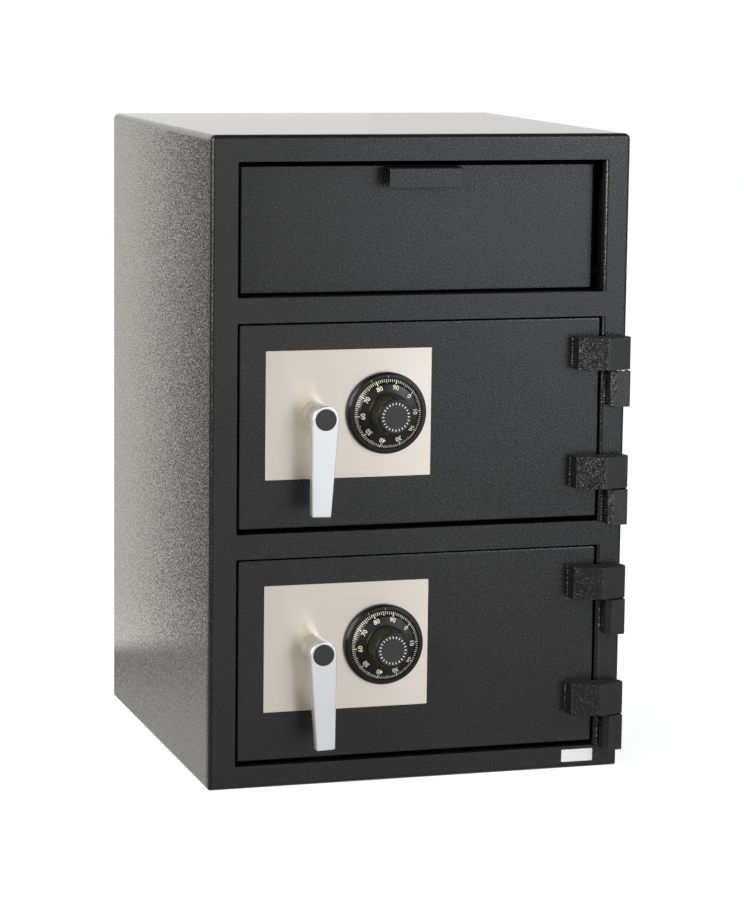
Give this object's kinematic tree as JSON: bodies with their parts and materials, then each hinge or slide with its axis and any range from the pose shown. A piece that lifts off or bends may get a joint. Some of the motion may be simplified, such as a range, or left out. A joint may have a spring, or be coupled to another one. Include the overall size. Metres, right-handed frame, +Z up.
{
  "type": "drop safe with deposit drawer",
  "caption": "Steel drop safe: a tilt-out deposit drawer over two locked compartments, each door with a combination dial and a lever that throws its bolts.",
  "frame": {"origin": "centre of the case's underside, on the floor", "axes": "+Z up, +Y to the back, +X to the right as seen from the front"},
  "size_m": [0.508, 0.553, 0.762],
  "materials": {
    "painted_steel": "textured charcoal powder coat",
    "brushed_plate": "brushed along its width",
    "satin_chrome": "satin",
    "bright_steel": "zinc plated",
    "dial_black": "semi-gloss",
    "black_insert": "fine matte",
    "lock_zinc": "bare die casting",
    "lock_brass": "turned and faced"
  },
  "bodies": {
    "case": {"case_wrap": "painted_steel", "back_plate": "painted_steel", "front_frame": "painted_steel", "divider_shelf": "painted_steel", "hopper_bracket_left": "painted_steel", "hopper_bracket_right": "painted_steel", "drawer_lintel": "painted_steel", "drawer_sill": "painted_steel", "deposit_baffle": "painted_steel", "baffle_teeth": "painted_steel", "upper_top_knuckle": "painted_steel", "upper_top_hinge_pin": "bright_steel", "upper_bottom_knuckle": "painted_steel", "upper_bottom_hinge_pin": "bright_steel", "lower_top_knuckle": "painted_steel", "lower_top_hinge_pin": "bright_steel", "lower_bottom_knuckle": "painted_steel", "lower_bottom_hinge_pin": "bright_steel"},
    "drawer": {"drawer_front": "painted_steel", "drawer_pull": "painted_steel", "hopper_side_left": "painted_steel", "hopper_side_right": "painted_steel", "hopper_tray": "painted_steel"},
    "upper_door_body": {"upper_door": "painted_steel", "upper_top_leaf": "painted_steel", "upper_bottom_leaf": "painted_steel", "upper_key_plate": "brushed_plate", "upper_dial_ring": "dial_black", "upper_bolt_guide": "painted_steel", "upper_dead_bar": "painted_steel", "upper_lock_case": "lock_zinc"},
    "upper_lever_body": {"upper_lever": "satin_chrome", "upper_lever_insert": "black_insert", "upper_lever_shaft": "bright_steel"},
    "upper_bolts_body": {"upper_bolt_carriage": "bright_steel", "upper_live_bolt_1": "bright_steel", "upper_live_bolt_2": "bright_steel", "upper_live_bolt_3": "bright_steel"},
    "upper_dial_body": {"upper_dial": "dial_black", "upper_dial_cap": "black_insert"},
    "upper_lock_bolt_body": {"upper_lock_bolt": "lock_brass"},
    "lower_door_body": {"lower_door": "painted_steel", "lower_top_leaf": "painted_steel", "lower_bottom_leaf": "painted_steel", "lower_key_plate": "brushed_plate", "lower_dial_ring": "dial_black", "lower_bolt_guide": "painted_steel", "lower_dead_bar": "painted_steel", "lower_lock_case": "lock_zinc"},
    "lower_lever_body": {"lower_lever": "satin_chrome", "lower_lever_insert": "black_insert", "lower_lever_shaft": "bright_steel"},
    "lower_bolts_body": {"lower_bolt_carriage": "bright_steel", "lower_live_bolt_1": "bright_steel", "lower_live_bolt_2": "bright_steel", "lower_live_bolt_3": "bright_steel"},
    "lower_dial_body": {"lower_dial": "dial_black", "lower_dial_cap": "black_insert"},
    "lower_lock_bolt_body": {"lower_lock_bolt": "lock_brass"}
  },
  "joints": [
    {"name": "drawer_tilt", "type": "hinge", "parent": "case", "child": "drawer", "pos_m": [0, -0.221, 0.5982], "axis": [1, 0, 0], "range_deg": [0, 55]},
    {"name": "upper_door_swing", "type": "hinge", "parent": "case", "child": "upper_door_body", "pos_m": [0.2425, -0.266, 0.42625], "axis": [0, 0, 1], "range_deg": [0, 110]},
    {"name": "upper_lever_turn", "type": "hinge", "parent": "upper_door_body", "child": "upper_lever_body", "pos_m": [-0.1291, -0.254, 0.4395], "axis": [0, 1, 0], "range_deg": [0, 80]},
    {"name": "upper_bolts_slide", "type": "slide", "parent": "upper_door_body", "child": "upper_bolts_body", "axis": [-1, 0, 0], "range_m": [0, 0.022]},
    {"name": "upper_dial_turn", "type": "hinge", "parent": "upper_door_body", "child": "upper_dial_body", "pos_m": [-0.0435, -0.2567, 0.4395], "axis": [0, 1, 0], "continuous": true},
    {"name": "upper_lock_bolt_slide", "type": "slide", "parent": "upper_door_body", "child": "upper_lock_bolt_body", "axis": [0, 0, -1], "range_m": [0, 0.009]},
    {"name": "lower_door_swing", "type": "hinge", "parent": "case", "child": "lower_door_body", "pos_m": [0.2425, -0.266, 0.15175], "axis": [0, 0, 1], "range_deg": [0, 110]},
    {"name": "lower_lever_turn", "type": "hinge", "parent": "lower_door_body", "child": "lower_lever_body", "pos_m": [-0.1291, -0.254, 0.165], "axis": [0, 1, 0], "range_deg": [0, 80]},
    {"name": "lower_bolts_slide", "type": "slide", "parent": "lower_door_body", "child": "lower_bolts_body", "axis": [-1, 0, 0], "range_m": [0, 0.022]},
    {"name": "lower_dial_turn", "type": "hinge", "parent": "lower_door_body", "child": "lower_dial_body", "pos_m": [-0.0435, -0.2567, 0.165], "axis": [0, 1, 0], "continuous": true},
    {"name": "lower_lock_bolt_slide", "type": "slide", "parent": "lower_door_body", "child": "lower_lock_bolt_body", "axis": [0, 0, -1], "range_m": [0, 0.009]}
  ],
  "couplings": [
    {"joint": "upper_bolts_slide", "follows": "upper_lever_turn", "m_per_rad": 0.01575},
    {"joint": "lower_bolts_slide", "follows": "lower_lever_turn", "m_per_rad": 0.01575}
  ]
}
